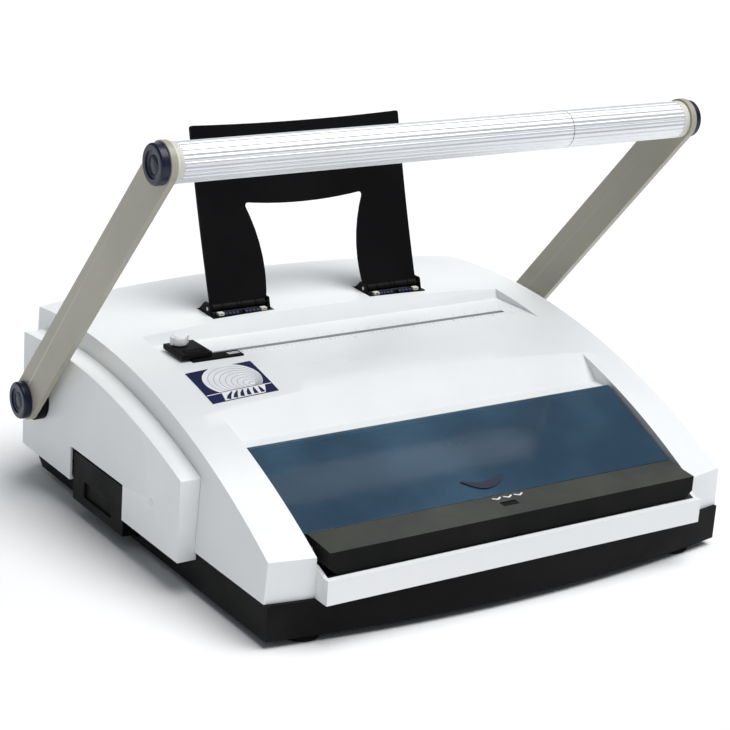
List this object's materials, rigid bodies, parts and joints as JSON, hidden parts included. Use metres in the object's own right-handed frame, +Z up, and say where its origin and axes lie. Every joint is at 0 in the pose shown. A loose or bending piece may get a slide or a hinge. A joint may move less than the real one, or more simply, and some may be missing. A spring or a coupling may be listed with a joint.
{
  "type": "wire comb binding machine",
  "caption": "Desk-top punch and closer for binding loose sheets with a wire comb: long pull handle, sheet rest, tinted lid over the wire bay, press bar and side chip drawer.",
  "frame": {"origin": "centre of the overall box at the desk", "axes": "+X across the machine to its right side, +Y to the back, +Z up"},
  "size_m": [0.4794, 0.405, 0.3281],
  "materials": {
    "white_plastic": "fine satin moulding",
    "black_plastic": "satin moulding",
    "bar_plastic": "fine grained moulding",
    "dark_grey": "matt moulding",
    "steel": "zinc plated",
    "polished_steel": "ground",
    "aluminium": "anodised, satin",
    "arm_paint": "satin paint",
    "navy_plastic": "gloss moulding",
    "cream_plastic": "moulded",
    "blue_clear": "tinted clear acrylic",
    "rubber": "matt",
    "brass": "sintered bronze",
    "chart": "printed film"
  },
  "bodies": {
    "machine": {"base_tray": "black_plastic", "rubber_feet": "rubber", "base_screws": "steel", "top_cover": "white_plastic", "left_pod": "white_plastic", "right_pod": "white_plastic", "pod_plugs": "white_plastic", "front_panel": "white_plastic", "left_frame": "steel", "right_frame": "steel", "guide_bracket": "steel", "frame_bushings": "brass", "pivot_bushings": "black_plastic", "die_block": "steel", "stripper_plate": "steel", "paper_stop": "steel", "guide_rods": "polished_steel", "frame_screws": "steel", "bay_tray": "dark_grey", "closer_anvil": "steel", "wire_hook_rail": "dark_grey", "lid_pins": "steel", "press_bar_pins": "steel", "press_springs": "polished_steel", "rest_brackets": "black_plastic", "rest_lugs": "cream_plastic", "rest_screws": "steel", "guide_track": "black_plastic", "size_chart": "chart", "drawer_runners": "dark_grey"},
    "handle": {"left_arm": "arm_paint", "right_arm": "arm_paint", "tie_rod": "steel", "main_grip": "aluminium", "short_grip": "aluminium", "grip_collars": "cream_plastic", "upper_caps": "navy_plastic", "pivot_caps": "navy_plastic", "handle_bolts": "steel", "drive_shaft": "polished_steel", "pinions": "steel"},
    "punch": {"punch_bar": "steel", "punch_pins": "polished_steel", "left_rack": "steel", "right_rack": "steel"},
    "lid": {"lid": "blue_clear"},
    "press_bar": {"press_bar": "bar_plastic", "press_pad": "black_plastic", "closer_jaw": "steel"},
    "document_rest": {"document_rest": "black_plastic", "rest_hinge_pins": "steel"},
    "edge_guide": {"edge_guide": "black_plastic"},
    "guide_knob": {"guide_knob": "white_plastic"},
    "chip_drawer": {"chip_drawer": "black_plastic"}
  },
  "joints": [
    {"name": "handle_pull", "type": "hinge", "parent": "machine", "child": "handle", "pos_m": [0, 0.1365, 0.076], "axis": [1, 0, 0], "range_deg": [-42, 38]},
    {"name": "punch_stroke", "type": "slide", "parent": "machine", "child": "punch", "axis": [0, -1, 0], "range_m": [-0.0079, 0.0072]},
    {"name": "lid_open", "type": "hinge", "parent": "machine", "child": "lid", "pos_m": [0, -0.0875, 0.1035], "axis": [-1, 0, 0], "range_deg": [0, 98]},
    {"name": "press", "type": "hinge", "parent": "machine", "child": "press_bar", "pos_m": [0, -0.1735, 0.063], "axis": [1, 0, 0], "range_deg": [0, 9], "stiffness_Nm_per_rad": 1.5, "springref_deg": -5.73},
    {"name": "rest_fold", "type": "hinge", "parent": "machine", "child": "document_rest", "pos_m": [0, 0.0885, 0.1485], "axis": [1, 0, 0], "range_deg": [0, 107]},
    {"name": "guide_slide", "type": "slide", "parent": "machine", "child": "edge_guide", "axis": [1, 0, 0], "range_m": [0, 0.012]},
    {"name": "guide_lock", "type": "hinge", "parent": "edge_guide", "child": "guide_knob", "pos_m": [-0.14975, 0.045, 0.14], "axis": [0, 0, 1], "range_deg": [0, 90]},
    {"name": "drawer_slide", "type": "slide", "parent": "machine", "child": "chip_drawer", "axis": [-1, 0, 0], "range_m": [0, 0.24]}
  ],
  "couplings": [
    {"joint": "punch_stroke", "follows": "handle_pull", "m_per_rad": 0.010625}
  ]
}
